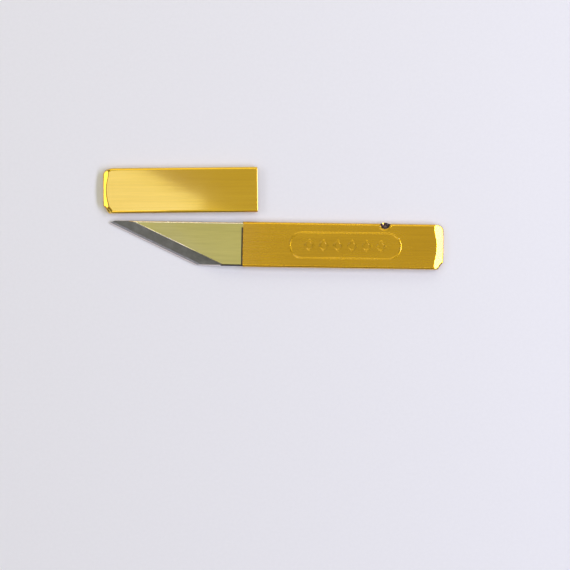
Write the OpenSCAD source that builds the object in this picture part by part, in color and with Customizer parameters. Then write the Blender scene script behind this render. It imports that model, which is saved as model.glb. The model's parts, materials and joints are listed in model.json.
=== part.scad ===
// Kiridashi craft knife with a brass handle sleeve and a brass cap, lying with the cap drawn off.
// Millimetres. X runs from the blade's tip towards the closed end of the handle, Y towards the
// spine, Z up. The origin is the middle of the handle's back face, which the knife lies on.

/* [Blade] */
// Width of the blade across its flat face
blade_w = 15.2; // [12:0.1:20]
// Thickness of the blade
blade_t = 2.0; // [1.6:0.05:2.6]
// Length of the blade in front of the handle's mouth
blade_out = 46.9; // [40:0.1:60]
// Angle between the cutting edge and the spine
edge_angle = 25; // [22:0.5:30]
// Width of the ground bevel, from the cutting edge to its shoulder
bevel_w = 4.4; // [3:0.1:5.5]
// Width and height of the narrow final bevel along the cutting edge
micro_w = 0.25; // [0.1:0.05:0.4]
// Distance of the tip below the line of the spine
tip_drop = 0.9; // [0.4:0.1:2]
// Length over which the spine runs down to the tip
tip_clip = 2; // [1:0.1:4]
// Radius of the rounded heel, where the cutting edge meets the lower side
heel_r = 5; // [2:0.5:8]
// Chamfer of the long edges, other than the front lower one
side_chamfer = 0.4; // [0.35:0.05:0.6]
// Chamfer of the front lower long edge
heel_chamfer = 0.55; // [0.4:0.05:0.7]

/* [Steel and tang] */
// Thickness of the hard steel layer welded to the soft iron's back
steel_t = 0.6; // [0.4:0.05:0.9]
// Length of the steel layer inside the handle
steel_in = 8; // [4:0.5:20]
// Depth of the hollow ground into the steel's back
hollow_d = 0.1; // [0.05:0.01:0.2]
// Width of the hollow
hollow_w = 8; // [5:0.5:9]
// Margin of flat steel left around the hollow
hollow_margin = 2.4; // [2:0.1:4]
// Length of the tang inside the handle
tang_l = 61; // [56:0.5:65]
// Corner cut at the end of the tang
tang_cut = 3; // [1:0.25:5]
// Length of black, unground iron that shows in front of the mouth
scale_l = 0.55; // [0.3:0.05:1]
// Depth of the unground iron below the ground face
scale_d = 0.08; // [0.04:0.01:0.1]
// Width of ground face along the spine that runs on into the mouth
scale_margin = 1.7; // [1:0.1:3]

/* [Sleeves] */
// Length of the handle sleeve
handle_l = 70; // [68:0.5:90]
// Length of the cap sleeve
cap_l = 53.8; // [52:0.1:70]
// Thickness of the brass sheet
wall = 0.25; // [0.2:0.05:0.35]
// Clearance between a sleeve's side wall and the blade
side_gap = 0.05; // [0.03:0.01:0.1]
// Clearance between a sleeve's flat wall and the blade
face_gap = 0.1; // [0.05:0.01:0.15]
// Outer radius of the folded long edges
edge_r = 0.9; // [0.7:0.05:1]
// Radius of the closed end's rounded corner, on the fold side
corner_r = 2.4; // [1.5:0.1:3.5]
// Length of the closed end's straight corner, along the sleeve
cut_x = 1.9; // [1.2:0.1:2.6]
// Length of the closed end's straight corner, across the sleeve
cut_y = 2.6; // [1.6:0.1:3.4]
// Width of the open slit beside the straight corner
slit_w = 0.3; // [0.2:0.05:0.4]
// Width and depth of the butted seam line along the lower side
seam_w = 0.12; // [0.08:0.01:0.2]
// Length of the handle's pressed-down end, at the middle
handle_press_l = 2.5; // [1.5:0.1:4]
// Length of the cap's pressed-down end, at the middle
cap_press_l = 1.1; // [0.8:0.1:2]
// Slope of a pressed-down end
press_angle = 22; // [12:1:30]
// Crown radius of a pressed-down end
press_r = 55; // [40:1:120]

/* [Embossing and stake] */
// Distance of the embossed ring's middle from the mouth
ring_x = 35.7; // [34:0.1:37]
// Length of the embossed ring
ring_l = 39.2; // [30:0.1:42]
// Height of the embossed ring across the sleeve
ring_w = 9.5; // [7:0.1:11]
// Width of the embossed line
line_w = 0.5; // [0.3:0.05:0.7]
// Height of the embossing above the front face
emboss_h = 0.12; // [0.06:0.01:0.2]
// Number of plain lozenges in the ring
lozenges = 6; // [3:1:7]
// Spacing of the lozenges
lozenge_pitch = 5; // [4:0.1:5.5]
// Length and height of one lozenge
lozenge_l = 3.8; // [3:0.1:4.4]
lozenge_h = 4.6; // [3:0.1:5.5]
// Distance of the stake mark from the mouth
stake_x = 49.9; // [44:0.1:54]
// Radius of the round-nosed punch that made it
stake_r = 1.75; // [1.4:0.05:2]
// Height of the punch's centre above the front face
stake_lift = 0.3; // [0.1:0.05:0.6]
// Distance by which the stake bulges the side wall outwards
stake_bulge = 0.4; // [0.2:0.05:0.6]
// Radius of that bulge
bulge_r = 2.1; // [1.8:0.05:2.5]
// Clearance between the staked brass and the notch in the tang
stake_gap = 0.05; // [0.03:0.01:0.1]

/* [Cap at rest] */
// Distance of the cap's mouth behind the handle's mouth, as it lies beside the blade
cap_shift = 4.8; // [0:0.1:20]
// Distance of the cap's axis from the knife's axis, at the cap's mouth
cap_aside = 19.2; // [18.5:0.1:60]
// Angle of the cap to the knife
cap_turn = 1.4; // [0:0.1:2]

/* [Hidden] */
$fn = 96;

// Outside and inside of a sleeve
sleeve_w = blade_w + 2 * (side_gap + wall);
sleeve_t = blade_t + 2 * (face_gap + wall);
// Back and front faces of the blade
back_z = wall + face_gap;
front_z = back_z + blade_t;
// Plan of the blade
half_w = blade_w / 2;
tip_y = half_w - tip_drop;
heel_x = -blade_out + (tip_y + half_w) / tan(edge_angle);
heel_reach = heel_r * tan(edge_angle / 2);
edge_dir = [-cos(edge_angle), sin(edge_angle)];
// Plan of the hollow
hollow_mid_y = 0;
hollow_r = (pow(hollow_w / 2, 2) + pow(hollow_d, 2)) / (2 * hollow_d);
// Straight corner
cut_len = norm([cut_x, cut_y]);
cut_angle = atan2(cut_y, cut_x);
// Centre of the punch
stake_y = sleeve_w / 2 - 0.15;
stake_z = sleeve_t + stake_lift;
// Overrun of cutting tools
over = 1;
far = 200;

// Row frame: everything is drawn from the handle's mouth and moved so that the origin is
// the middle of the handle's back face.
module from_mouth() {
    translate([-handle_l / 2, 0, 0]) children();
}

// Rounded rectangle across X, from x = 0 to length, standing on z = inset
module tube_blank(length, inset) {
    r = edge_r - inset;
    y = sleeve_w / 2 - edge_r;
    z = [edge_r, sleeve_t - edge_r];
    for (s = [-1, 1], h = z)
        translate([0, s * y, h]) rotate([0, 90, 0]) cylinder(h = length, r = r);
    translate([0, -y, inset]) cube([length, 2 * y, sleeve_t - 2 * inset]);
    translate([0, -sleeve_w / 2 + inset, z[0]]) cube([length, sleeve_w - 2 * inset, z[1] - z[0]]);
}

// Plan of a sleeve with its mouth at x = 0: a rounded corner at the fold side and a straight
// corner at the seam side
module sleeve_plan(length, inset) {
    difference() {
        translate([-over, -sleeve_w / 2]) square([length - inset + over, sleeve_w]);
        translate([length - corner_r, sleeve_w / 2 - corner_r])
            difference() {
                square(corner_r + over);
                circle(corner_r - inset);
            }
        translate([length - cut_x, -sleeve_w / 2]) rotate(cut_angle)
            translate([-cut_len, -2 * cut_len + inset]) square([3 * cut_len, 2 * cut_len]);
    }
}

// Body under the pressed-down end: the inside of a large, tilted cylinder
module press_form(length, press_l, inset) {
    translate([length - press_l, 0, sleeve_t]) rotate([0, 90 + press_angle, 0])
        translate([press_r, 0, -far / 2]) cylinder(h = far, r = press_r - inset, $fn = 360);
}

// Solid bounded by a sleeve's outside (inset 0) or its inside (inset = wall)
module sleeve_form(length, press_l, inset) {
    intersection() {
        translate([inset == 0 ? 0 : -over, 0, 0])
            tube_blank(length + (inset == 0 ? 0 : over), inset);
        translate([0, 0, -over]) linear_extrude(sleeve_t + 2 * over) sleeve_plan(length, inset);
        press_form(length, press_l, inset);
    }
}

// Open slit between the front wall and the side wall at the straight corner
module corner_slit(length) {
    translate([length - cut_x, -sleeve_w / 2, sleeve_t / 2]) rotate(cut_angle)
        translate([wall, wall, 0]) cube([cut_len - 2 * wall, slit_w, sleeve_t]);
}

// Line of the butted seam along the lower side wall
module seam_line(length) {
    translate([-over, -sleeve_w / 2 - seam_w, sleeve_t / 2 - seam_w / 2])
        cube([length - cut_x + over, 2 * seam_w, seam_w]);
}

module stadium(l, w) {
    square([l - w, w], center = true);
    for (s = [-1, 1]) translate([s * (l - w) / 2, 0]) circle(w / 2);
}

module lozenge(l, h) {
    polygon([[-l / 2, 0], [0, -h / 2], [l / 2, 0], [0, h / 2]]);
}

// Raised ring with a row of plain lozenges in it
module emboss_plan() {
    // A line of equal width takes more off a lozenge's length and height than off a straight side
    off = line_w * norm([lozenge_l, lozenge_h]);
    difference() {
        stadium(ring_l, ring_w);
        stadium(ring_l - 2 * line_w, ring_w - 2 * line_w);
    }
    for (i = [0 : lozenges - 1])
        translate([(i - (lozenges - 1) / 2) * lozenge_pitch, 0])
            difference() {
                lozenge(lozenge_l, lozenge_h);
                lozenge(lozenge_l - 2 * off / lozenge_h, lozenge_h - 2 * off / lozenge_l);
            }
}

module at_stake() {
    translate([stake_x, stake_y, stake_z]) children();
}

// Brass pushed outwards beside the stake
module stake_bump() {
    intersection() {
        translate([stake_x, sleeve_w / 2 + stake_bulge - bulge_r, sleeve_t / 2]) sphere(bulge_r);
        translate([stake_x - bulge_r, 0, 0]) cube([2 * bulge_r, sleeve_w, sleeve_t]);
    }
}

module blade_plan() {
    difference() {
        polygon([
            [-blade_out, tip_y],
            [-blade_out + tip_clip, half_w],
            [tang_l - tang_cut, half_w],
            [tang_l, half_w - tang_cut],
            [tang_l, -half_w + tang_cut],
            [tang_l - tang_cut, -half_w],
            [heel_x, -half_w],
        ]);
        difference() {
            polygon([
                [heel_x - heel_reach, -half_w - heel_reach],
                [heel_x + heel_reach, -half_w],
                [heel_x + heel_reach, -half_w + heel_r],
                [heel_x, -half_w] + heel_reach * edge_dir,
            ]);
            translate([heel_x + heel_reach, -half_w + heel_r]) circle(heel_r);
        }
    }
}

// Cross-section of the blade, drawn in Y and Z
module blade_section() {
    c = side_chamfer;
    polygon([
        [-half_w + c, back_z], [half_w - c, back_z],
        [half_w, back_z + c], [half_w, front_z - c],
        [half_w - c, front_z], [-half_w + heel_chamfer, front_z],
        [-half_w, front_z - heel_chamfer], [-half_w, back_z + c],
    ]);
}

// Space above a plane that runs along the cutting edge, a distance inwards from it and a height
// above the blade's back, and rises inwards at an angle
module above_edge(inwards, height, angle) {
    translate([heel_x, -half_w, back_z + height]) rotate(180 - edge_angle)
        translate([0, -inwards, 0]) rotate([-angle, 0, 0])
            translate([-far / 2, -far / 2, 0]) cube([far, far, far]);
}

module blade_blank() {
    bevel_angle = atan((blade_t - micro_w) / (bevel_w - micro_w));
    difference() {
        intersection() {
            translate([0, 0, back_z - over]) linear_extrude(blade_t + 2 * over) blade_plan();
            translate([-blade_out - over, 0, 0]) rotate([90, 0, 90])
                linear_extrude(blade_out + tang_l + 2 * over) blade_section();
        }
        above_edge(0, 0, 45);
        above_edge(micro_w, micro_w, bevel_angle);
        // Black iron, a little below the ground face, from just in front of the mouth
        translate([-scale_l, -half_w - over, front_z - scale_d])
            cube([scale_l + tang_l + over, blade_w + over - scale_margin, over]);
        // Notch that the staked brass sits in
        at_stake() sphere(stake_r + wall + stake_gap);
    }
}

// Space of the steel layer
module steel_zone() {
    translate([-blade_out - over, -blade_w, back_z - over])
        cube([blade_out + steel_in + over, 2 * blade_w, steel_t + over]);
}

// Shallow hollow in the steel's back, a flat margin inside the blade's outline
module back_hollow() {
    low = -hollow_w / 2 + hollow_mid_y;
    high = hollow_w / 2 + hollow_mid_y;
    // Where the margin line beside the cutting edge crosses the hollow's two long sides
    slant = hollow_margin / sin(edge_angle);
    run = 1 / tan(edge_angle);
    intersection() {
        translate([0, 0, back_z - over]) linear_extrude(blade_t)
            polygon([
                [heel_x - (high + half_w) * run + slant, high],
                [-hollow_margin, high],
                [-hollow_margin, low],
                [heel_x - (low + half_w) * run + slant, low],
            ]);
        translate([-far / 2, hollow_mid_y, back_z + hollow_d - hollow_r]) rotate([0, 90, 0])
            cylinder(h = far, r = hollow_r, $fn = 720);
    }
}

module blade_iron() {
    color("#b9b07c") from_mouth() difference() {
        blade_blank();
        steel_zone();
    }
}

module blade_steel() {
    color("#8c8c8e") from_mouth() difference() {
        intersection() {
            blade_blank();
            steel_zone();
        }
        back_hollow();
    }
}

module handle_sleeve() {
    color("#b9902a") from_mouth() difference() {
        union() {
            sleeve_form(handle_l, handle_press_l, 0);
            stake_bump();
            translate([ring_x, 0, sleeve_t - wall / 2])
                linear_extrude(wall / 2 + emboss_h) emboss_plan();
        }
        difference() {
            sleeve_form(handle_l, handle_press_l, wall);
            at_stake() sphere(stake_r + wall);
        }
        at_stake() sphere(stake_r);
        corner_slit(handle_l);
        seam_line(handle_l);
    }
}

module cap_sleeve() {
    color("#e0bd5a") from_mouth() translate([cap_shift, cap_aside, 0]) rotate(cap_turn)
        mirror([1, 0, 0]) difference() {
            sleeve_form(cap_l, cap_press_l, 0);
            sleeve_form(cap_l, cap_press_l, wall);
            corner_slit(cap_l);
            seam_line(cap_l);
        }
}

blade_iron();
blade_steel();
handle_sleeve();
cap_sleeve();
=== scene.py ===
"""Kiridashi craft knife with a brass handle sleeve, and its brass cap drawn off and laid beside it.

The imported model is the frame. The sleeves are modelled anew in the places of their nodes, and the two
layers of the blade are softened copies of theirs. Sizes in the classes are in millimetres; a finished
mesh is turned into metres when it is laid in its place.
"""

from __future__ import annotations

import json
import logging
import math
from dataclasses import dataclass, field, replace
from enum import Enum
from typing import Callable, Iterable, Optional

import bmesh
import bpy
from mathutils import Matrix, Vector

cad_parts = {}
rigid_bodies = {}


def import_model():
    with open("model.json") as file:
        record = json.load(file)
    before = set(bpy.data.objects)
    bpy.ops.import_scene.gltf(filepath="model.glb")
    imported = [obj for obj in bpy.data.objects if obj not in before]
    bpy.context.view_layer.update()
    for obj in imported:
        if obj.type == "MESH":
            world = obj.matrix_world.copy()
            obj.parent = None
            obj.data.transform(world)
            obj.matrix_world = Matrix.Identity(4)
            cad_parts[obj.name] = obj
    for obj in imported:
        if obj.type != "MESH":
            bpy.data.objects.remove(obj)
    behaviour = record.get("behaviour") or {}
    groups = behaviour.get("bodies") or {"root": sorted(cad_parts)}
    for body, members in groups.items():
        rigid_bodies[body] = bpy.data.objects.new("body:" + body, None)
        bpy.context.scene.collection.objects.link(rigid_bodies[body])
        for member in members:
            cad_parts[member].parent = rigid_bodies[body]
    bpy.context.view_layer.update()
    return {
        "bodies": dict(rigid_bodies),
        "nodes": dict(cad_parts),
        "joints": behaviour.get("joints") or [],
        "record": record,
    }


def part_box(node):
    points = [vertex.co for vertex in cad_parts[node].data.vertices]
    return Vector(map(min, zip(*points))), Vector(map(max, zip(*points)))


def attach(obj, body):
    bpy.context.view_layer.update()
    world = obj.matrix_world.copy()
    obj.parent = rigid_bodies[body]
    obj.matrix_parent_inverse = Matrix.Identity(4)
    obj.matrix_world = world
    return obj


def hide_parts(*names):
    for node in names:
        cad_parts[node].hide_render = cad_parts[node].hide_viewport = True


log = logging.getLogger("kiridashi")

MM = 0.001
TO_METRES = Matrix.Diagonal((MM, MM, MM, 1))
X_AXIS = Vector((1, 0, 0))
Y_AXIS = Vector((0, 1, 0))
Z_AXIS = Vector((0, 0, 1))
DOWN = Vector((0, 0, -1))
# Slanted direction along which no two parts of a mesh lie level
ORDER = Vector((1, 0.7549, 0.5698))
# Distance below which two places count as the same, and a smaller one for heights in a folded edge
CLOSE = 0.01
TOUCH = 0.001
# Bevel profile of a round edge
ROUND = 0.5
# Angle above which an edge is shaded as a sharp one
SHARP = math.radians(34)
# Weight of a face's size in the shading of the points around it
FLATNESS = 90
# Angle of the grinding lines on the blade's bevel
GRIND = math.radians(-25)

Mesh = bmesh.types.BMesh
Edge = bmesh.types.BMEdge
Face = bmesh.types.BMFace
Vert = bmesh.types.BMVert
Socket = bpy.types.NodeSocket
Colour = tuple[float, float, float]
Plane = tuple[Vector, Vector]
Test = Callable[[Vector], bool]


# Mesh tools


def smooth_min(a: float, b: float, blend: float) -> float:
    """Give the smaller of two heights, with a rounded change from one to the other.

    Args:
        a: First height.
        b: Second height.
        blend: Difference below which the two are blended.

    Returns:
        The blended height, never above the smaller one.
    """
    share = min(max(0.5 + 0.5 * (b - a) / blend, 0.0), 1.0)
    return b + (a - b) * share - blend * share * (1 - share)


def cut(
    shape: Mesh, point: Iterable[float], normal: Vector, where: Optional[Test] = None, trim: bool = False
) -> list[Edge]:
    """Cut faces along a plane.

    Args:
        shape: Mesh to cut.
        point: A point of the plane.
        normal: Its normal, which points to the side that a trim takes away.
        where: Test of a face's centre. Without it every face is cut.
        trim: Whether what lies beyond the plane is taken away.

    Returns:
        The edges that lie along the cut.
    """
    faces = [f for f in shape.faces if where is None or where(f.calc_center_median())]
    parts = dict.fromkeys(part for f in faces for part in (f, *f.edges, *f.verts))
    made = bmesh.ops.bisect_plane(
        shape, geom=list(parts), dist=1e-4, plane_co=Vector(point), plane_no=normal, clear_outer=trim
    )
    return [g for g in made["geom_cut"] if isinstance(g, Edge)]


def steps(first: float, last: float, pitch: float) -> list[float]:
    """Give even steps from one value to another, both included, no wider than a pitch."""
    count = max(1, math.ceil((last - first) / pitch - 1e-6))
    return [first + (last - first) * i / count for i in range(count + 1)]


def round_off(
    shape: Mesh, parts: list[Edge] | list[Vert], width: float, segments: int, affect: str = "EDGES"
) -> None:
    """Round edges, or the corners of a flat outline, by an arc that starts a width from each.

    Args:
        shape: Mesh to work on.
        parts: The edges or corners.
        width: Distance from each at which its arc starts.
        segments: Number of flats in an arc.
        affect: EDGES or VERTICES.
    """
    edges = affect == "EDGES"
    bmesh.ops.bevel(
        shape,
        geom=parts,
        offset=width,
        offset_type="OFFSET",
        segments=segments,
        profile=ROUND,
        affect=affect,
        clamp_overlap=edges,
        loop_slide=edges,
        material=-1,
    )


def step_in(shape: Mesh, face: Face, profile: Iterable[tuple[float, float]]) -> None:
    """Draw a face inwards in steps, each given by its width and its rise.

    Args:
        shape: Mesh to work on.
        face: The face.
        profile: Width and rise of each step.
    """
    for width, rise in profile:
        bmesh.ops.inset_region(
            shape, faces=[face], thickness=width, depth=rise, use_even_offset=True, use_boundary=True
        )


def settle(shape: Mesh) -> None:
    """Put a mesh in an order that follows from its shape alone, so that every run gives the same.

    Parts that were listed before no longer stand for themselves after it.

    Args:
        shape: Mesh to work on.
    """
    shape.verts.sort(key=lambda v: v.co.dot(ORDER))
    shape.edges.sort(key=lambda e: (e.verts[0].co + e.verts[1].co).dot(ORDER))
    shape.faces.sort(key=lambda f: f.calc_center_median().dot(ORDER))


def sink(shape: Mesh, faces: list[Face], way: Iterable[float]) -> None:
    """Move faces along a way, with walls that join them to their old outline.

    Args:
        shape: Mesh to work on.
        faces: The faces.
        way: Direction and distance.
    """
    made = bmesh.ops.extrude_face_region(shape, geom=faces)
    moved = [g for g in made["geom"] if isinstance(g, Vert)]
    bmesh.ops.translate(shape, vec=way, verts=moved)


def fill_between(shape: Mesh, edges: list[Edge]) -> None:
    """Fill the level area between an outline and the outlines inside it."""
    bmesh.ops.triangle_fill(shape, use_beauty=True, edges=edges, normal=Z_AXIS)


def highest(shape: Mesh, axis: int) -> float:
    """Give the farthest reach of a mesh along an axis."""
    return max(v.co[axis] for v in shape.verts)


def show(name: str, data: bpy.types.ID) -> bpy.types.Object:
    """Put a mesh, a light or a camera into the scene.

    Args:
        name: Name of the object.
        data: What it shows.

    Returns:
        The new object.
    """
    made = bpy.data.objects.new(name, data)
    bpy.context.scene.collection.objects.link(made)
    return made


# Shader tools


class Nodes:
    """Node tree of a material, of the surroundings or of a shared effect, filled from left to right."""

    def __init__(self, tree: bpy.types.NodeTree) -> None:
        """Start from an empty tree."""
        self.tree = tree
        tree.nodes.clear()

    def add(
        self, kind: str, *values: object, settings: Optional[dict] = None, **inputs: object
    ) -> bpy.types.Node:
        """Add a node.

        Args:
            kind: Node type without its ShaderNode prefix.
            values: Values or links of its first inputs, in order.
            settings: Values of the node's own properties.
            inputs: Values or links of its other inputs, with underscores for spaces in their names.

        Returns:
            The new node.
        """
        prefix = "" if kind.startswith("NodeGroup") else "ShaderNode"
        node = self.tree.nodes.new(prefix + kind)
        for name, value in (settings or {}).items():
            setattr(node, name, value)
        for place, value in enumerate(values):
            self.feed(node, place, value)
        for name, value in inputs.items():
            self.feed(node, name.replace("_", " "), value)
        return node

    def feed(self, node: bpy.types.Node, name: str | int, value: object) -> None:
        """Link an output to an input, or set the input's value.

        Args:
            node: Node to feed.
            name: Name or place of its input.
            value: Output, number or colour.
        """
        socket = node.inputs[name]
        if isinstance(value, Socket):
            self.tree.links.new(value, socket)
        else:
            socket.default_value = (*value, 1) if socket.type == "RGBA" else value

    def math(self, kind: str, first: object, second: object = 0.0) -> Socket:
        """Combine two values."""
        return self.add("Math", first, second, settings={"operation": kind}).outputs[0]

    def vector(self, kind: str, first: object, second: object) -> bpy.types.Node:
        """Combine two vectors."""
        return self.add("VectorMath", first, second, settings={"operation": kind})

    def ramp(self, value: object, low: float, high: float, first: float = 0.0, last: float = 1.0) -> Socket:
        """Map a range of values onto another, held at its ends."""
        return self.add("MapRange", value, low, high, first, last).outputs[0]

    def blend(self, share: object, first: object, second: object) -> Socket:
        """Blend two values."""
        return self.add("Mix", share, A=first, B=second).outputs[0]

    def mix(self, share: object, first: object, second: object) -> Socket:
        """Mix two colours.

        Args:
            share: Share of the second colour.
            first: First colour.
            second: Second colour.

        Returns:
            The mixed colour.
        """
        node = self.add("Mix", share, settings={"data_type": "RGBA"})
        self.feed(node, 6, first)
        self.feed(node, 7, second)
        return node.outputs[2]

    def noise(self, place: Socket, scale: object, detail: float, rough: float) -> Socket:
        """Add a noise pattern."""
        return self.add("TexNoise", Vector=place, Scale=scale, Detail=detail, Roughness=rough).outputs["Fac"]

    def turn(self, place: Socket, angle: float) -> Socket:
        """Turn a pattern about the Z axis."""
        return self.add("Mapping", Vector=place, Rotation=(0.0, 0.0, -angle)).outputs[0]

    def group(self, tree: bpy.types.NodeTree, *values: object) -> bpy.types.NodeOutputs:
        """Place a shared effect, and give its outputs."""
        return self.add("Group", *values, settings={"node_tree": tree}).outputs

    def bump(self, height: Socket, distance: float) -> Socket:
        """Turn a pattern of heights into a relief of a real depth."""
        return self.add("Bump", Strength=1.0, Distance=distance, Height=height).outputs[0]


def effect(
    name: str, inputs: dict[str, str], outputs: dict[str, str]
) -> tuple[Nodes, bpy.types.NodeOutputs]:
    """Start a shared effect.

    Args:
        name: Name of the effect.
        inputs: Socket type of each input, by name.
        outputs: Socket type of each output, by name.

    Returns:
        The tool that fills it, and what its inputs give.
    """
    tree = bpy.data.node_groups.new(name, "ShaderNodeTree")
    for way, sockets in (("INPUT", inputs), ("OUTPUT", outputs)):
        for label, kind in sockets.items():
            tree.interface.new_socket(label, in_out=way, socket_type="NodeSocket" + kind)
    nodes = Nodes(tree)
    return nodes, nodes.add("NodeGroupInput").outputs


class Effects:
    """Surface effects that several finishes share, each built once."""

    def __init__(self) -> None:
        """Build every effect."""
        self.brushing = self._brushing()
        self.marks = self._marks()

    def _brushing(self) -> bpy.types.NodeTree:
        """Build fine lines left along X by a brushing wheel, with broader bands among them.

        Returns:
            The effect.
        """
        nodes, given = effect(
            "brushed lines",
            {"Place": "Vector", "Along": "Float", "Across": "Float"},
            {"Line": "Float", "Band": "Float"},
        )
        scale = nodes.add("CombineXYZ", given["Along"], given["Across"], given["Across"])
        drawn = nodes.vector("MULTIPLY", given["Place"], scale.outputs[0]).outputs[0]
        wide = nodes.vector("MULTIPLY", drawn, (0.5, 0.16, 0.16)).outputs[0]
        line = nodes.ramp(nodes.noise(drawn, 1.0, 5.0, 0.7), 0.3, 0.7)
        band = nodes.ramp(nodes.noise(wide, 1.0, 3.0, 0.6), 0.3, 0.7)
        nodes.add("NodeGroupOutput", line, band)
        return nodes.tree

    def _marks(self) -> bpy.types.NodeTree:
        """Build the marks of handling: soft cloudy smudges and a few small specks.

        Returns:
            The effect.
        """
        nodes, given = effect(
            "handling marks",
            {"Place": "Vector", "Smudge Scale": "Float", "Speck Scale": "Float"},
            {"Smudge": "Float", "Speck": "Float"},
        )
        smudge = nodes.ramp(nodes.noise(given["Place"], given["Smudge Scale"], 4.0, 0.6), 0.35, 0.7)
        speck = nodes.ramp(nodes.noise(given["Place"], given["Speck Scale"], 2.0, 0.5), 0.7, 0.78)
        nodes.add("NodeGroupOutput", smudge, speck)
        return nodes.tree


# Finishes


@dataclass(frozen=True)
class Finish:
    """Finish of one kind of surface.

    Attributes:
        name: Name of the material.
        light: Colour of its brighter parts.
        deep: Colour of its darker parts.
    """

    name: str
    light: Colour
    deep: Colour

    def material(self, effects: Effects) -> bpy.types.Material:
        """Build the material.

        Args:
            effects: Shared surface effects.

        Returns:
            The material.
        """
        made = bpy.data.materials.new(self.name)
        made.use_nodes = True
        nodes = Nodes(made.node_tree)
        shader = self.dress(nodes, nodes.add("TexCoord").outputs["Object"], effects)
        nodes.add("OutputMaterial", shader.outputs[0])
        return made

    def dress(self, nodes: Nodes, place: Socket, effects: Effects) -> bpy.types.Node:
        """Build the shader.

        Args:
            nodes: Tool that fills the material's tree.
            place: Place on the object.
            effects: Shared surface effects.

        Returns:
            The shader's node.
        """
        raise NotImplementedError


@dataclass(frozen=True)
class PunchResidueAndShade:
    """Dark colour in a round punch mark: partly residue that the punch left, partly painted shade of its
    hollow.

    Attributes:
        centre: Middle of the punch's nose, in metres.
        radius: Its radius, in metres.
        light: Colour of its brighter patches.
        deep: Colour of its darker patches.
        roughness: Roughness in the mark.
        bare: Place of the lowest corner of a bare triangle left in it, from the middle, in metres.
        steep: Slope of that triangle's sides.
        fade: Width over which the triangle's edge fades, in metres.
        rim: Shares of the radius between which it fades out.
    """

    centre: Vector
    radius: float
    light: Colour = (0.12, 0.05, 0.035)
    deep: Colour = (0.05, 0.042, 0.04)
    roughness: float = 0.22
    bare: Vector = Vector((-0.65 * MM, -0.22 * MM, 0))
    steep: float = 1.05
    fade: float = 0.05 * MM
    rim: tuple[float, float] = (1.01, 1.03)

    def mask(self, nodes: Nodes, place: Socket) -> Socket:
        """Build the mask of the residue and painted shade, which leaves a bare triangle.

        Args:
            nodes: Tool that fills the material's tree.
            place: Place on the object.

        Returns:
            The mask, 1 under the residue and painted shade.
        """
        gap = nodes.vector("DISTANCE", place, self.centre).outputs["Value"]
        inside = nodes.ramp(gap, self.radius * self.rim[0], self.radius * self.rim[1], 1.0, 0.0)
        offset = nodes.vector("SUBTRACT", place, self.centre + self.bare).outputs[0]
        x, y, _ = nodes.add("SeparateXYZ", offset).outputs
        side = nodes.math("MULTIPLY", nodes.math("ABSOLUTE", x), self.steep)
        covered = nodes.ramp(nodes.math("SUBTRACT", y, side), 0.0, self.fade, 1.0, 0.0)
        return nodes.math("MULTIPLY", inside, covered)


@dataclass(frozen=True)
class BrushedMetal(Finish):
    """Metal brushed along one direction in its own plane.

    Attributes:
        roughness: Roughness on the crests of the brushed lines.
        spread: Roughness added between the lines and under smudges.
        along: Lines in a metre of length.
        across: Lines in a metre of width.
        groove: Depth of the brushed lines, in metres.
        lacquer: Share of the surface under clear lacquer.
        gloss: Roughness of the lacquer.
        bands: Share of the broader bands in the tone. The rest follows the lines.
        smudges: Smudges in a metre.
        specks: Specks in a metre.
        turn: Angle of the brushing from the X axis, in radians.
        residue_and_shade: Residue and painted shade in a punch mark, if there is one.
    """

    roughness: float
    spread: float
    along: float
    across: float
    groove: float
    lacquer: float
    gloss: float = 0.1
    bands: float = 0.45
    smudges: float = 90.0
    specks: float = 1400.0
    turn: float = 0.0
    residue_and_shade: Optional[PunchResidueAndShade] = None

    def dress(self, nodes: Nodes, place: Socket, effects: Effects) -> bpy.types.Node:
        """Build the shader.

        Args:
            nodes: Tool that fills the material's tree.
            place: Place on the object.
            effects: Shared surface effects.

        Returns:
            The shader's node.
        """
        turned = nodes.turn(place, self.turn)
        line, band = nodes.group(effects.brushing, turned, self.along, self.across)
        smudge, speck = nodes.group(effects.marks, turned, self.smudges, self.specks)
        colour = nodes.mix(nodes.blend(self.bands, line, band), self.deep, self.light)
        colour = nodes.mix(nodes.math("MULTIPLY", speck, 0.5), colour, self.deep)
        rough = nodes.ramp(line, 0.0, 1.0, self.roughness + self.spread, self.roughness)
        rough = nodes.math("ADD", rough, nodes.math("MULTIPLY", smudge, self.spread))
        # Punch mark: dark colour that is partly residue, partly painted shade of its hollow.
        if self.residue_and_shade:
            inside = self.residue_and_shade.mask(nodes, place)
            residue_and_shade_colour = nodes.mix(smudge, self.residue_and_shade.deep, self.residue_and_shade.light)
            colour = nodes.mix(inside, colour, residue_and_shade_colour)
            rough = nodes.blend(inside, rough, self.residue_and_shade.roughness)
        return nodes.add(
            "BsdfPrincipled",
            Base_Color=colour,
            Roughness=rough,
            Metallic=1.0,
            Normal=nodes.bump(line, self.groove),
            Coat_Weight=self.lacquer,
            Coat_Roughness=self.gloss,
        )


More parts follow.
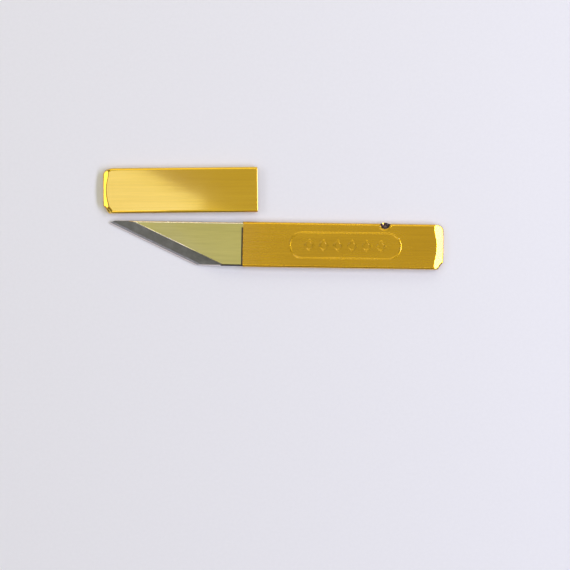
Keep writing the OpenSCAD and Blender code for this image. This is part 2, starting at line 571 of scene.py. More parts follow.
@dataclass(frozen=True)
class GroundMetal(Finish):
    """Bare steel or iron straight from a grinding stone, slightly mottled.

    Attributes:
        roughness: Roughness of the ground face.
        turn: Angle of the grinding lines from the X axis, in radians.
        metal: Share of clean metal. What is left is a matt white: the haze of a fine stone, and on the final
            bevel partly a painted highlight.
        haze: Roughness added under smudges.
        along: Grinding lines in a metre of length.
        across: Grinding lines in a metre of width.
        groove: Depth of the grinding lines, in metres.
        cloud: Share of the smudges in the tone. The rest follows the lines.
        smudges: Smudges in a metre.
        specks: Specks in a metre.
    """

    roughness: float
    turn: float = GRIND
    metal: float = 1.0
    haze: float = 0.1
    along: float = 150.0
    across: float = 7000.0
    groove: float = 2e-6
    cloud: float = 0.7
    smudges: float = 420.0
    specks: float = 2200.0

    def dress(self, nodes: Nodes, place: Socket, effects: Effects) -> bpy.types.Node:
        """Build the shader.

        Args:
            nodes: Tool that fills the material's tree.
            place: Place on the object.
            effects: Shared surface effects.

        Returns:
            The shader's node.
        """
        turned = nodes.turn(place, self.turn)
        line, _ = nodes.group(effects.brushing, turned, self.along, self.across)
        smudge, _ = nodes.group(effects.marks, turned, self.smudges, self.specks)
        return nodes.add(
            "BsdfPrincipled",
            Base_Color=nodes.mix(nodes.blend(self.cloud, line, smudge), self.deep, self.light),
            Roughness=nodes.ramp(smudge, 0.0, 1.0, self.roughness, self.roughness + self.haze),
            Metallic=self.metal,
            Normal=nodes.bump(line, self.groove),
        )


@dataclass(frozen=True)
class ForgeScaleAndShadow(Finish):
    """Black skin on the unground iron: forge scale, and in front of the handle's mouth painted shadow of the
    mouth.

    Attributes:
        roughness: Roughness of the unbroken skin.
        worn: Roughness of its worn patches.
        metal: Share of clean metal.
        depth: Height of the skin's bumps, in metres.
        smudges: Worn patches in a metre.
        specks: Specks in a metre.
    """

    roughness: float = 0.75
    worn: float = 0.5
    metal: float = 0.3
    depth: float = 2e-5
    smudges: float = 700.0
    specks: float = 3000.0

    def dress(self, nodes: Nodes, place: Socket, effects: Effects) -> bpy.types.Node:
        """Build the shader.

        Args:
            nodes: Tool that fills the material's tree.
            place: Place on the object.
            effects: Shared surface effects.

        Returns:
            The shader's node.
        """
        smudge, _ = nodes.group(effects.marks, place, self.smudges, self.specks)
        return nodes.add(
            "BsdfPrincipled",
            Base_Color=nodes.mix(smudge, self.deep, self.light),
            Roughness=nodes.ramp(smudge, 0.0, 1.0, self.roughness, self.worn),
            Metallic=self.metal,
            Normal=nodes.bump(smudge, self.depth),
        )


@dataclass(frozen=True)
class Paper(Finish):
    """Matt paper with a faint grain.

    Attributes:
        grain: Spots of the grain in a metre.
        roughness: Roughness of the paper.
        shine: Strength of its reflections.
    """

    grain: float = 900.0
    roughness: float = 0.9
    shine: float = 0.1

    def dress(self, nodes: Nodes, place: Socket, effects: Effects) -> bpy.types.Node:
        """Build the shader.

        Args:
            nodes: Tool that fills the material's tree.
            place: Place on the object.
            effects: Shared surface effects. Not used.

        Returns:
            The shader's node.
        """
        colour = nodes.mix(nodes.noise(place, self.grain, 3.0, 0.6), self.deep, self.light)
        return nodes.add(
            "BsdfPrincipled", Base_Color=colour, Roughness=self.roughness, Specular_IOR_Level=self.shine
        )


# Pieces


class Piece(Enum):
    """Visible pieces.

    Attributes:
        title: Name of the piece.
        node: Node that it replaces.
        slot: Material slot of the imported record.
        body: Body that it rides on.
    """

    IRON = "iron_body", "blade_iron", "iron_body", "knife"
    STEEL = "steel_layer", "blade_steel", "steel_edge", "knife"
    HANDLE = "handle_shell", "handle_sleeve", "handle_brass", "knife"
    CAP = "cap_shell", "cap_sleeve", "cap_brass", "cap"

    def __init__(self, title: str, node: str, slot: str, body: str) -> None:
        """Keep what the piece stands for.

        Args:
            title: Name of the piece.
            node: Node that it replaces.
            slot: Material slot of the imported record.
            body: Body that it rides on.
        """
        self.title = title
        self.node = node
        self.slot = slot
        self.body = body

    def lay(self, shape: Mesh, place: Matrix, materials: list[bpy.types.Material]) -> bpy.types.Object:
        """Turn a finished shape into this piece, in the place of its node.

        Args:
            shape: Mesh in millimetres in its own frame. It is used up.
            place: Transform from that frame to the row's frame, in metres.
            materials: Materials, in the order of the faces' indices.

        Returns:
            The new object.
        """
        bmesh.ops.transform(shape, matrix=place, verts=shape.verts)
        if place.determinant() < 0:
            bmesh.ops.reverse_faces(shape, faces=shape.faces)
        for face in shape.faces:
            face.smooth = True
        settle(shape)
        mesh = bpy.data.meshes.new(self.title)
        shape.to_mesh(mesh)
        shape.free()
        mesh.set_sharp_from_angle(angle=SHARP)
        for material in materials:
            mesh.materials.append(material)
        piece = show(self.title, mesh)
        weighted = piece.modifiers.new("flat faces stay flat", "WEIGHTED_NORMAL")
        weighted.keep_sharp = True
        weighted.weight = FLATNESS
        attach(piece, self.body)
        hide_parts(self.node)
        log.info("%s: %d faces on %s", self.title, len(mesh.polygons), self.body)
        return piece


class Ground(Enum):
    """Finishes of the blade's faces, by their material index."""

    FLAT = 0
    BEVEL = 1
    # Black unground iron, and painted shadow on the step at the mouth
    SCALE_AND_SHADOW = 2
    HONED = 3
    WORN = 4


@dataclass
class Stake:
    """Round-nosed punch mark in the fold-side edge, with the brass that it pushed outwards.

    Attributes:
        x: Distance from the mouth.
        radius: Radius of the punch.
        lift: Height of the punch's centre above the front face.
        inset: Distance of the punch's centre inside the side wall.
        bulge: Distance by which the side wall stands out.
        bulge_radius: Radius of that bulge.
        bulge_blend: Rounding between the bulge and the side wall.
        lip: Height of the burr around the mark.
        lip_width: Distance of the burr's crest from the mark's outline.
        lip_tail: Length of the burr's outer slope, as a share of that distance.
        grain: Size of the mesh around the mark.
        rim: Share of that size within which a point is drawn onto the outline.
        margin: Finely meshed ground kept around the bulge.
    """

    x: float = 49.5
    radius: float = 1.75
    lift: float = 0.3
    inset: float = 0.15
    bulge: float = 0.4
    bulge_radius: float = 2.1
    bulge_blend: float = 0.15
    lip: float = 0.12
    lip_width: float = 0.3
    lip_tail: float = 0.8
    grain: float = 0.09
    rim: float = 0.6
    margin: float = 0.3

    def refine(self, shape: Mesh, sleeve: Sleeve) -> None:
        """Cut the mesh finely where the punch meets it.

        Args:
            shape: Mesh to work on.
            sleeve: Sleeve that carries the mark.
        """
        side, front, fold = sleeve.width / 2, sleeve.depth, sleeve.fold_radius
        half = self.bulge_radius + self.margin
        edge: Test = lambda c: c.y > side - half - 1
        near: Test = lambda c: edge(c) and abs(c.x - self.x) < half + 1
        for x in steps(self.x - half, self.x + half, self.grain):
            cut(shape, (x, 0, 0), X_AXIS, edge)
        for y in steps(side - half, side - fold, self.grain):
            cut(shape, (0, y, 0), Y_AXIS, lambda c: near(c) and c.z > front - CLOSE)
        for z in steps(fold, front - fold, self.grain):
            cut(shape, (0, 0, z), Z_AXIS, lambda c: near(c) and c.y > side - CLOSE)

    def centre(self, sleeve: Sleeve) -> Vector:
        """Give the middle of the punch's round nose."""
        return Vector((self.x, sleeve.width / 2 - self.inset, sleeve.depth + self.lift))

    def burr(self, share: float) -> float:
        """Give the burr's height at a share of the way from the mark's outline to its crest.

        Args:
            share: Share of the way, above 1 beyond the crest.

        Returns:
            The height.
        """
        if share < 1:
            return self.lip * math.sin(math.pi / 2 * share)
        return self.lip * math.exp(-(((share - 1) / self.lip_tail) ** 2))

    def trace(self, shape: Mesh, punch: Vector) -> None:
        """Draw the nearest points of the skin onto the round outline of the mark.

        Args:
            shape: Mesh to work on.
            punch: Middle of the punch's nose.
        """
        shape.normal_update()
        for v in shape.verts:
            gap = v.co - punch
            if abs(gap.length - self.radius) > self.grain * self.rim:
                continue
            rise = v.normal * gap.dot(v.normal)
            flat = gap - rise
            reach = math.sqrt(self.radius**2 - rise.length_squared)
            v.co += flat * (reach / flat.length - 1)

    def press(self, shape: Mesh, sleeve: Sleeve) -> None:
        """Push the bulge out and the punch in.

        Args:
            shape: Mesh to work on.
            sleeve: Sleeve that carries the mark.
        """
        side, middle = sleeve.width / 2, sleeve.depth / 2
        bulge = Vector((self.x, side + self.bulge - self.bulge_radius, middle))
        punch = self.centre(sleeve)
        self.trace(shape, punch)
        inwards = Vector((0, -1, -1)).normalized()
        for v in shape.verts:
            flat = (v.co.x - bulge.x) ** 2 + (v.co.z - bulge.z) ** 2
            if v.co.y > side - sleeve.fold_radius and flat < self.bulge_radius**2:
                out = bulge.y + math.sqrt(self.bulge_radius**2 - flat)
                v.co.y = -smooth_min(-v.co.y, -out, self.bulge_blend)
            gap = v.co - punch
            if gap.length < self.radius:
                along = gap.dot(inwards)
                reach = math.sqrt(max(self.radius**2 - (gap.length_squared - along**2), 0.0))
                v.co += inwards * (reach - along)
            elif v.co.z > middle:
                v.co.z += self.burr((gap.length - self.radius) / self.lip_width)


@dataclass
class Ring:
    """Embossed ring along the front, with a row of plain lozenges in it.

    Attributes:
        x: Distance of its middle from the mouth.
        length: Length over all.
        width: Width over all.
        line: Width of the embossed line.
        height: Height of the embossing.
        flats: Number of flats across the line's round section.
        lozenges: Number of lozenges.
        pitch: Spacing of the lozenges.
        lozenge_length: Length of one, along the handle.
        lozenge_width: Width of one.
        collar: Level ground kept on both sides of an embossed line.
        margin: Plain ground kept free around the ring.
    """

    x: float = 35.7
    length: float = 39.2
    width: float = 9.5
    line: float = 0.6
    height: float = 0.1
    flats: int = 6
    lozenges: int = 6
    pitch: float = 5.0
    lozenge_length: float = 3.8
    lozenge_width: float = 4.6
    collar: float = 0.12
    margin: float = 0.4

    def profile(self) -> list[tuple[float, float]]:
        """Give the widths and rises of the line's round section between its two level collars.

        Returns:
            Width and rise of each step, from the outside inwards.
        """
        crest = [self.height * math.sin(math.pi * i / self.flats) for i in range(self.flats + 1)]
        line = [(self.line / self.flats, b - a) for a, b in zip(crest, crest[1:])]
        return [(self.collar, 0.0), *line, (self.collar, 0.0)]

    def plate(self, shape: Mesh, corners: int, radius: float, place: Matrix) -> Face:
        """Draw an even level outline and its face."""
        made = bmesh.ops.create_circle(shape, cap_ends=True, segments=corners, radius=radius, matrix=place)
        return made["verts"][0].link_faces[0]

    def outline(self, shape: Mesh, depth: float) -> Face:
        """Draw the outline of the ring and its collar as a level face with two round ends.

        Args:
            shape: Mesh to work on.
            depth: Height of the front face.

        Returns:
            The level face.
        """
        corners = 64
        place = Matrix.Translation((self.x, 0, depth)) @ Matrix.Rotation(math.pi / corners, 4, "Z")
        face = self.plate(shape, corners, self.width / 2 + self.collar, place)
        for v in face.verts:
            v.co.x += math.copysign((self.length - self.width) / 2, v.co.x - self.x)
        return face

    def lozenge(self, shape: Mesh, x: float, depth: float) -> Face:
        """Draw the outline of one lozenge and its collar as a level face.

        Args:
            shape: Mesh to work on.
            x: Distance from the mouth.
            depth: Height of the front face.

        Returns:
            The level face.
        """
        half_l, half_w = self.lozenge_length / 2, self.lozenge_width / 2
        inside = half_l * half_w / math.hypot(half_l, half_w)
        place = Matrix.Translation((x, 0, depth)) @ Matrix.Diagonal((half_l, half_w, 1, 1))
        return self.plate(shape, 4, 1 + self.collar / inside, place)

    def emboss(self, shape: Mesh, depth: float) -> None:
        """Set the ring and its lozenges into the front face.

        Args:
            shape: Mesh to work on.
            depth: Height of the front face.
        """
        half_w = self.width / 2 + self.margin
        half_l = self.length / 2 + self.margin
        front: Test = lambda c: c.z > depth - CLOSE
        level: Test = lambda c: front(c) and abs(c.x - self.x) < half_l
        for s in (-1, 1):
            cut(shape, (self.x + s * half_l, 0, 0), X_AXIS, front)
            cut(shape, (0, s * half_w, 0), Y_AXIS, level)
        centres = {f: f.calc_center_median() for f in shape.faces}
        ground = [f for f, c in centres.items() if level(c) and abs(c.y) < half_w]
        frame = [e for f in ground for e in f.edges if sum(g in ground for g in e.link_faces) == 1]
        bmesh.ops.delete(shape, geom=ground, context="FACES")
        ring = self.outline(shape, depth)
        fill_between(shape, frame + list(ring.edges))
        step_in(shape, ring, self.profile())
        border = list(ring.edges)
        bmesh.ops.delete(shape, geom=[ring], context="FACES_ONLY")
        first = self.x - (self.lozenges - 1) / 2 * self.pitch
        marks = [self.lozenge(shape, first + i * self.pitch, depth) for i in range(self.lozenges)]
        fill_between(shape, border + [e for mark in marks for e in mark.edges])
        for mark in marks:
            step_in(shape, mark, self.profile())


@dataclass
class Sleeve:
    """Flat folded brass sleeve, drawn from its mouth at x = 0 to its closed end.

    Attributes:
        length: Length over all.
        press_length: Length of the pressed-down end, at the middle.
        width: Width over the two long sides.
        depth: Thickness over the two flat faces.
        wall: Thickness of the sheet.
        fold_radius: Outer radius of the folded edges.
        arcs: Number of flats in a folded edge.
        corner_radius: Radius of the closed end's rounded corner.
        corner_arcs: Number of flats in that corner.
        cut_x: Length of its straight corner, along the sleeve.
        cut_y: Length of its straight corner, across the sleeve.
        press_slope: Slope of the pressed-down end.
        press_crown: Crown radius of the pressed-down end.
        press_reach: Farthest that the crown draws the crease towards the mouth.
        press_edge: Rounding of the pressed-down end's outline.
        press_blend: Rounding of its crease.
        press_ramp: Length of flat front over which the crease is drawn back.
        press_lead: Length of flat front before that, where the finer mesh starts.
        least_wall: Least height left to the side wall under the pressed-down end.
        slit: Width of the open slit beside the straight corner.
        sliver: Width of the brass left outside the slit.
        slit_stop: Length of the brass left at each end of the slit.
        seam: Width and depth of the butted seam.
        seam_stop: Distance in front of the pressed-down end at which the seam stops.
        rim: Rounding of the mouth's edges.
        ease: Length over which the mouth's edge is worn down.
        ease_depth: Depth of that wear.
        grain: Distance below which two points of the skin become one.
    """

    length: float
    press_length: float
    width: float
    depth: float = 2.7
    wall: float = 0.25
    fold_radius: float = 0.9
    arcs: int = 10
    corner_radius: float = 2.4
    corner_arcs: int = 12
    cut_x: float = 1.9
    cut_y: float = 2.6
    press_slope: float = math.radians(22)
    press_crown: float = 40.0
    press_reach: float = 0.9
    press_edge: float = 0.2
    press_blend: float = 0.06
    press_ramp: float = 2.6
    press_lead: float = 1.0
    least_wall: float = 0.08
    slit: float = 0.3
    sliver: float = 0.3
    slit_stop: float = 0.3
    seam: float = 0.12
    seam_stop: float = 1.8
    rim: float = 0.05
    ease: float = 0.25
    ease_depth: float = 0.16
    grain: float = 0.004

    def blank(self) -> Mesh:
        """Build the outer skin with its folded edges, still flat and open at the mouth.

        Returns:
            The skin, in the sleeve's own frame.
        """
        lead = 3.0
        shape = bmesh.new()
        bmesh.ops.create_grid(shape, x_segments=1, y_segments=1, size=0.5)
        bmesh.ops.scale(shape, vec=(self.length + lead, self.width, 1), verts=shape.verts)
        middle = ((self.length - lead) / 2, 0, self.fold_radius)
        bmesh.ops.translate(shape, vec=middle, verts=shape.verts)
        slant = Vector((self.cut_y, -self.cut_x, 0))
        cut(shape, (self.length - self.cut_x, -self.width / 2, 0), slant, trim=True)
        rounded = [v for v in shape.verts if v.co.x > 0 and v.co.y > self.width / 2 - CLOSE]
        round_off(shape, rounded, self.corner_radius, self.corner_arcs, "VERTICES")
        sink(shape, list(shape.faces), (0, 0, self.depth - 2 * self.fold_radius))
        settle(shape)
        bmesh.ops.recalc_face_normals(shape, faces=shape.faces)
        for level in (0, self.depth):
            self.fold(shape, level)
        cut(shape, (0, 0, 0), -X_AXIS, trim=True)
        cut(shape, (self.ease, 0, 0), X_AXIS)
        bmesh.ops.recalc_face_normals(shape, faces=shape.faces)
        shape.normal_update()
        for v in [v for v in shape.verts if v.co.x < self.ease / 2]:
            v.co.z -= max(v.normal.z, 0.0) * self.ease_depth
        return shape

    def fold(self, shape: Mesh, level: float) -> None:
        """Round the outline of the front or the back face by insets along a quarter circle.

        Args:
            shape: Mesh to work on.
            level: Height of the face in the finished sleeve.
        """
        flat = [f for f in shape.faces if abs(f.normal.z) > 0.999]
        face = min(flat, key=lambda f: abs(f.calc_center_median().z - level))
        turns = [math.pi / 2 * i / self.arcs for i in range(self.arcs + 1)]
        arc = [(math.cos(a) - math.cos(b), math.sin(b) - math.sin(a)) for a, b in zip(turns, turns[1:])]
        step_in(shape, face, [(run * self.fold_radius, rise * self.fold_radius) for run, rise in arc])

    def crease_shift(self, y: float) -> float:
        """Give how far the crown draws the crease from its middle's place towards the mouth."""
        sag = self.press_crown - math.sqrt(self.press_crown**2 - y * y)
        return smooth_min(sag / math.sin(self.press_slope), self.press_reach, self.press_reach / 2)

    def press_height(self, x: float, y: float) -> float:
        """Give the height of the pressed-down surface."""
        run = x - self.length + self.press_length + self.crease_shift(y)
        return self.depth - run * math.tan(self.press_slope)

    def edge_drop(self, z: float) -> float:
        """Give how far the pressed surface falls away at its outline, from a point's height in the fold.

        Args:
            z: Height of the point before the press.

        Returns:
            How far it falls.
        """
        above = min(max(z - self.depth + self.fold_radius, 0.0), self.fold_radius)
        inside = self.fold_radius - math.sqrt(self.fold_radius**2 - above**2)
        short = max(self.press_edge - inside, 0.0)
        return self.press_edge - math.sqrt(self.press_edge**2 - short**2)

    def refine_end(self, shape: Mesh, start: float) -> None:
        """Cut the mesh finely at the crease, and less so around it.

        Args:
            shape: Mesh to work on.
            start: Distance from the mouth at which it starts.
        """
        crease = self.length - self.press_length
        front, back = 0.7, 0.9
        fine, medium, coarse = 0.1, 0.2, 0.3
        near = steps(crease - front, min(crease + back, self.length - medium), fine)
        before = steps(start, crease - front - medium, coarse)
        behind = steps(crease + back + medium, self.length - fine, medium)
        for x in near + [x for x in before + behind if x < self.length - fine / 2]:
            cut(shape, (x, 0, 0), X_AXIS)
        for y in steps(-self.width / 2 + 1, self.width / 2 - 1, coarse):
            cut(shape, (0, y, 0), Y_AXIS, lambda c: c.x > start and c.z > self.fold_radius)

    def press_end(self, shape: Mesh) -> None:
        """Press the front of the closed end down to a crowned slope with a narrow crease.

        Args:
            shape: Mesh to work on.
        """
        start = self.length - self.press_length - self.press_ramp - self.press_lead
        floor, shoulder = self.fold_radius, self.depth - self.fold_radius
        self.refine_end(shape, start)
        for v in shape.verts:
            if v.co.x <= start or v.co.z <= floor + TOUCH:
                continue
            share = min((v.co.z - floor) / (shoulder - floor), 1.0)
            hold = min((v.co.x - start) / self.press_ramp, (self.length - v.co.x) / self.press_length, share)
            v.co.x -= max(self.crease_shift(v.co.y), 0.0) * max(hold, 0.0)
            slope = self.press_height(v.co.x, v.co.y)
            wall_top = smooth_min(shoulder, slope - self.press_edge, self.press_blend)
            wall_top = max(wall_top, floor + self.least_wall)
            if v.co.z <= shoulder + TOUCH:
                v.co.z = floor + share * (wall_top - floor)
            else:
                pressed = smooth_min(v.co.z, slope - self.edge_drop(v.co.z), self.press_blend)
                v.co.z = max(pressed, wall_top)

    def open_slit(self, shape: Mesh) -> None:
        """Open the slit beside the straight corner.

        Args:
            shape: Mesh to work on.
        """
        along = Vector((self.cut_x, self.cut_y, 0)).normalized()
        inwards = Vector((-along.y, along.x, 0))
        corner = Vector((self.length - self.cut_x, -self.width / 2, 0))
        length = math.hypot(self.cut_x, self.cut_y)
        low, high = self.sliver, self.sliver + self.slit
        first, last = self.slit_stop, length - self.slit_stop
        outside, reach, beyond = -0.2, 2.5, 1.0

        def near(c: Vector) -> bool:
            """Tell whether a face lies on the pressed surface beside the corner."""
            gap = c - corner
            level = outside < gap.dot(inwards) < reach and c.z > self.fold_radius
            return level and -beyond < gap.dot(along) < length + beyond

        def inside(c: Vector) -> bool:
            """Tell whether a face lies in the slit."""
            gap = c - corner
            return near(c) and low < gap.dot(inwards) < high and first < gap.dot(along) < last

        for way, places in ((inwards, (low, high)), (along, (first, last))):
            for distance in places:
                cut(shape, corner + way * distance, way, near)
        gone = [f for f in shape.faces if inside(f.calc_center_median()) and f.normal.z > 0.3]
        bmesh.ops.delete(shape, geom=gone, context="FACES")

    def thicken(self, shape: Mesh) -> None:
        """Give the skin its wall, and soften the mouth's edges.

        Args:
            shape: Mesh to work on.
        """
        bmesh.ops.remove_doubles(shape, verts=shape.verts, dist=self.grain)
        bmesh.ops.recalc_face_normals(shape, faces=shape.faces)
        shape.normal_update()
        inner_place = {v: v.co - v.normal * self.wall for v in shape.verts}
        border = [e for e in shape.edges if e.is_boundary]
        skin = shape.verts[:] + shape.edges[:] + shape.faces[:]
        lining = bmesh.ops.duplicate(shape, geom=skin)
        outer_to_inner = lining["vert_map"]
        bmesh.ops.reverse_faces(shape, faces=[g for g in lining["geom"] if isinstance(g, Face)])
        rim = bmesh.ops.extrude_edge_only(shape, edges=border)["geom"]
        fresh = {g for g in rim if isinstance(g, Vert)}
        welds = {}
        for edge in (g for g in rim if isinstance(g, Edge)):
            for new in fresh.intersection(edge.verts):
                outer = [e.other_vert(new) for e in new.link_edges if e.other_vert(new) not in fresh][0]
                welds[new] = outer_to_inner[outer]
        for outer, place in inner_place.items():
            outer_to_inner[outer].co = place
        bmesh.ops.weld_verts(shape, targetmap=welds)
        bmesh.ops.recalc_face_normals(shape, faces=shape.faces)
        rim_faces = {f for f in shape.faces if all(abs(v.co.x) < CLOSE for v in f.verts)}
        edges = [e for e in shape.edges if sum(f in rim_faces for f in e.link_faces) == 1]
        round_off(shape, edges, self.rim, 2)

    def score_seam(self, shape: Mesh) -> None:
        """Sink the line of the butted seam into the seam-side wall.

        Args:
            shape: Mesh to work on.
        """
        last = self.length - self.press_length - self.seam_stop

        def seamed(c: Vector) -> bool:
            """Tell whether a face of the outer skin lies in the seam."""
            level = abs(c.z - self.depth / 2) < self.seam / 2
            return level and c.y < -self.width / 2 + 2 * CLOSE and self.ease < c.x < last

        line = [f for f in shape.faces if f.normal.y < -0.99 and seamed(f.calc_center_median())]
        sink(shape, line, (0, self.seam, 0))
        bmesh.ops.delete(shape, geom=line, context="FACES")

    def detail(self, shape: Mesh) -> None:
        """Work details of one sleeve alone into the flat skin. The plain sleeve has none."""

    def build(self) -> Mesh:
        """Build the whole sleeve.

        Returns:
            The finished sleeve, in its own frame.
        """
        shape = self.blank()
        for s in (-1, 1):
            level = self.depth / 2 + s * self.seam / 2
            cut(shape, (0, 0, level), Z_AXIS, lambda c: c.y < -self.width / 2 + CLOSE)
        self.detail(shape)
        self.press_end(shape)
        self.open_slit(shape)
        self.thicken(shape)
        self.score_seam(shape)
        return shape


@dataclass
class HandleSleeve(Sleeve):
    """Sleeve that holds the tang, with an embossed ring and the stake that locks the tang.

    Attributes:
        ring: Embossed ring on the front.
        stake: Stake in the fold-side edge.
    """

    ring: Ring = field(default_factory=Ring)
    stake: Stake = field(default_factory=Stake)

    def detail(self, shape: Mesh) -> None:
        """Emboss the ring and set the stake.

        Args:
            shape: Mesh to work on.
        """
        self.ring.emboss(shape, self.depth)
        self.stake.refine(shape, self)
        self.stake.press(shape, self)


@dataclass
class Blade:
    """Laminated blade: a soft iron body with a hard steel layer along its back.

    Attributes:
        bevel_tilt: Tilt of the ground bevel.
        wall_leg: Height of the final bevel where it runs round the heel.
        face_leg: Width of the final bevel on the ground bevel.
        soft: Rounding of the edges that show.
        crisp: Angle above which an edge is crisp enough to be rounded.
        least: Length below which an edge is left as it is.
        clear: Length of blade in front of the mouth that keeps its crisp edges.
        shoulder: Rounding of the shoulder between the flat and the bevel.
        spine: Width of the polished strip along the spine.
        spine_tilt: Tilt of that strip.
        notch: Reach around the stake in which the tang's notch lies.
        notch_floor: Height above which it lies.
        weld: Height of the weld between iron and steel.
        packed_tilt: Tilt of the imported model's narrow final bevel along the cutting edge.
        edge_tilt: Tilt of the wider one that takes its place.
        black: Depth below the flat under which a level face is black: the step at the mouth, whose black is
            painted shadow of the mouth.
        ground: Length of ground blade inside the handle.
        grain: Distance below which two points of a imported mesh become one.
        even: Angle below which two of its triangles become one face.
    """

    bevel_tilt: float = math.atan2(1.75, 4.15)
    wall_leg: float = 0.24
    face_leg: float = 0.325
    soft: float = 0.04
    crisp: float = math.radians(15)
    least: float = 3.0
    clear: float = 0.4
    shoulder: float = 0.15
    spine: float = 0.47
    spine_tilt: float = math.radians(35)
    notch: float = 3.0
    notch_floor: float = 0.8
    weld: float = 0.95
    packed_tilt: float = math.radians(45)
    edge_tilt: float = math.radians(38)
    black: float = 0.04
    ground: float = 7.5
    grain: float = 0.003
    even: float = math.radians(1)

    def copy(self, node: bpy.types.Object) -> Mesh:
        """Copy a node's mesh in millimetres, with its loose triangles joined into whole faces.

        Args:
            node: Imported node.

        Returns:
            The copy.
        """
        shape = bmesh.new()
        shape.from_mesh(node.data)
        bmesh.ops.scale(shape, vec=(1 / MM, 1 / MM, 1 / MM), verts=shape.verts)
        bmesh.ops.remove_doubles(shape, verts=shape.verts, dist=self.grain)
        bmesh.ops.dissolve_limit(
            shape,
            angle_limit=self.even,
            use_dissolve_boundaries=False,
            verts=shape.verts,
            edges=shape.edges,
        )
        return shape

    def centre_notch(self, shape: Mesh, x: float) -> None:
        """Bring the tang's notch to the middle of the stake that locks it.

        Args:
            shape: Iron body.
            x: Place of the stake along the knife.
        """
        side = highest(shape, 1) - self.notch
        near = [v for v in shape.verts if abs(v.co.x - x) < self.notch and v.co.y > side]
        notch = [v for v in near if v.co.z > self.notch_floor]
        middle = (min(v.co.x for v in notch) + max(v.co.x for v in notch)) / 2
        bmesh.ops.translate(shape, vec=(x - middle, 0, 0), verts=notch)

    def is_bevel(self, face: Face) -> bool:
        """Tell whether a face is part of the ground bevel."""
        return abs(face.normal.z - math.cos(self.bevel_tilt)) < CLOSE

    def edge_planes(self, shape: Mesh) -> list[Plane]:
        """Find the planes of the final bevel along the cutting edge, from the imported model's bevel.

        Args:
            shape: Iron body or steel layer.

        Returns:
            The planes, as points and normals.
        """
        planes = []
        for face in shape.faces:
            low = face.calc_center_median().z < self.weld
            if low and abs(face.normal.z - math.cos(self.packed_tilt)) < CLOSE and face.normal.x < -0.1:
                outwards = Vector((face.normal.x, face.normal.y, 0)).normalized()
                normal = outwards * math.sin(self.edge_tilt) + Z_AXIS * math.cos(self.edge_tilt)
                planes.append((min((v.co for v in face.verts), key=lambda co: co.z).copy(), normal))
        return planes

    def heel_planes(self, shape: Mesh) -> list[Plane]:
        """Find the planes that carry the final bevel on round the heel and along the lower side.

        Args:
            shape: Iron body or steel layer.

        Returns:
            The planes, as points and normals.
        """
        planes = []
        for edge in shape.edges:
            bevel = [f for f in edge.link_faces if self.is_bevel(f)]
            side = [f for f in edge.link_faces if abs(f.normal.z) <= 0.05 and f.normal.y <= 0]
            if not bevel or not side:
                continue
            along = (edge.verts[1].co - edge.verts[0].co).normalized()
            middle = (edge.verts[0].co + edge.verts[1].co) / 2
            down = along.cross(side[0].normal)
            down = down if down.z < 0 else -down
            inwards = along.cross(bevel[0].normal)
            inwards = inwards if inwards.dot(side[0].normal) < 0 else -inwards
            low = middle + down * self.wall_leg
            high = middle + inwards * self.face_leg
            normal = along.cross(high - low).normalized()
            planes.append((low, normal if normal.z > 0 else -normal))
        return planes

    def shave(self, shape: Mesh, planes: list[Plane]) -> None:
        """Take off what lies beyond each plane, and close the cut.

        Args:
            shape: Mesh to work on.
            planes: The planes, as points and normals.
        """
        for point, normal in planes:
            edges = cut(shape, point, normal, trim=True)
            if edges:
                bmesh.ops.edgeloop_fill(shape, edges=edges)
        bmesh.ops.recalc_face_normals(shape, faces=shape.faces)

    def slope_spine(self, shape: Mesh) -> None:
        """Grind the polished strip along the spine."""
        edge = Vector((0, highest(shape, 1) - self.spine, highest(shape, 2)))
        self.shave(shape, [(edge, Vector((0, math.sin(self.spine_tilt), math.cos(self.spine_tilt))))])

    def round_shoulder(self, shape: Mesh) -> None:
        """Round the shoulder between the flat and the ground bevel.

        Args:
            shape: Iron body.
        """
        top = highest(shape, 2) - CLOSE
        level = [e for e in shape.edges if all(v.co.z > top for v in e.verts)]
        edges = [e for e in level if any(self.is_bevel(f) for f in e.link_faces)]
        round_off(shape, edges, self.shoulder, 3)

    def soften(self, shape: Mesh, mouth: float) -> None:
        """Round the long crisp edges in front of the mouth, apart from those of the weld and the flat.

        Args:
            shape: Iron body.
            mouth: Place of the handle's mouth along the knife.
        """
        top = highest(shape, 2) - CLOSE
        crisp = [e for e in shape.edges if e.calc_face_angle(0.0) > self.crisp]
        sharp = [
            e
            for e in crisp
            if e.calc_length() > self.least
            and sum(abs(v.co.z - self.weld) for v in e.verts) > 2 * CLOSE
            and min(v.co.z for v in e.verts) < top
            and max(v.co.x for v in e.verts) < mouth - self.clear
        ]
        round_off(shape, sharp, self.soft, 2)

    def mark_faces(self, shape: Mesh, planes: list[Plane], mouth: float) -> None:
        """Choose the finish of each face.

        Args:
            shape: Iron body or steel layer.
            planes: Planes of the final bevel.
            mouth: Place of the handle's mouth along the knife.
        """
        top = highest(shape, 2) - self.black
        for face in shape.faces:
            c = face.calc_center_median()
            n = face.normal
            if self.is_bevel(face):
                finish = Ground.BEVEL
            elif any(n.dot(way) > 0.999 and abs((c - p).dot(way)) < 2 * CLOSE for p, way in planes):
                # The final bevel's near-white colour is partly a painted highlight.
                finish = Ground.HONED
            elif n.z > 0.99:
                # A level face below the flat is the step at the mouth: its black is painted shadow of the
                # mouth.
                finish = Ground.FLAT if c.z > top else Ground.SCALE_AND_SHADOW
            elif n.z > 0.7 and (n.y > 0 or n.z > 0.9):
                finish = Ground.WORN
            # Iron inside the handle and the lower side above the weld take the same black skin.
            elif c.x > mouth + self.ground or (n.y < -0.5 and c.z > self.weld):
                finish = Ground.SCALE_AND_SHADOW
            else:
                finish = Ground.FLAT
            face.material_index = finish.value


# Assemblies


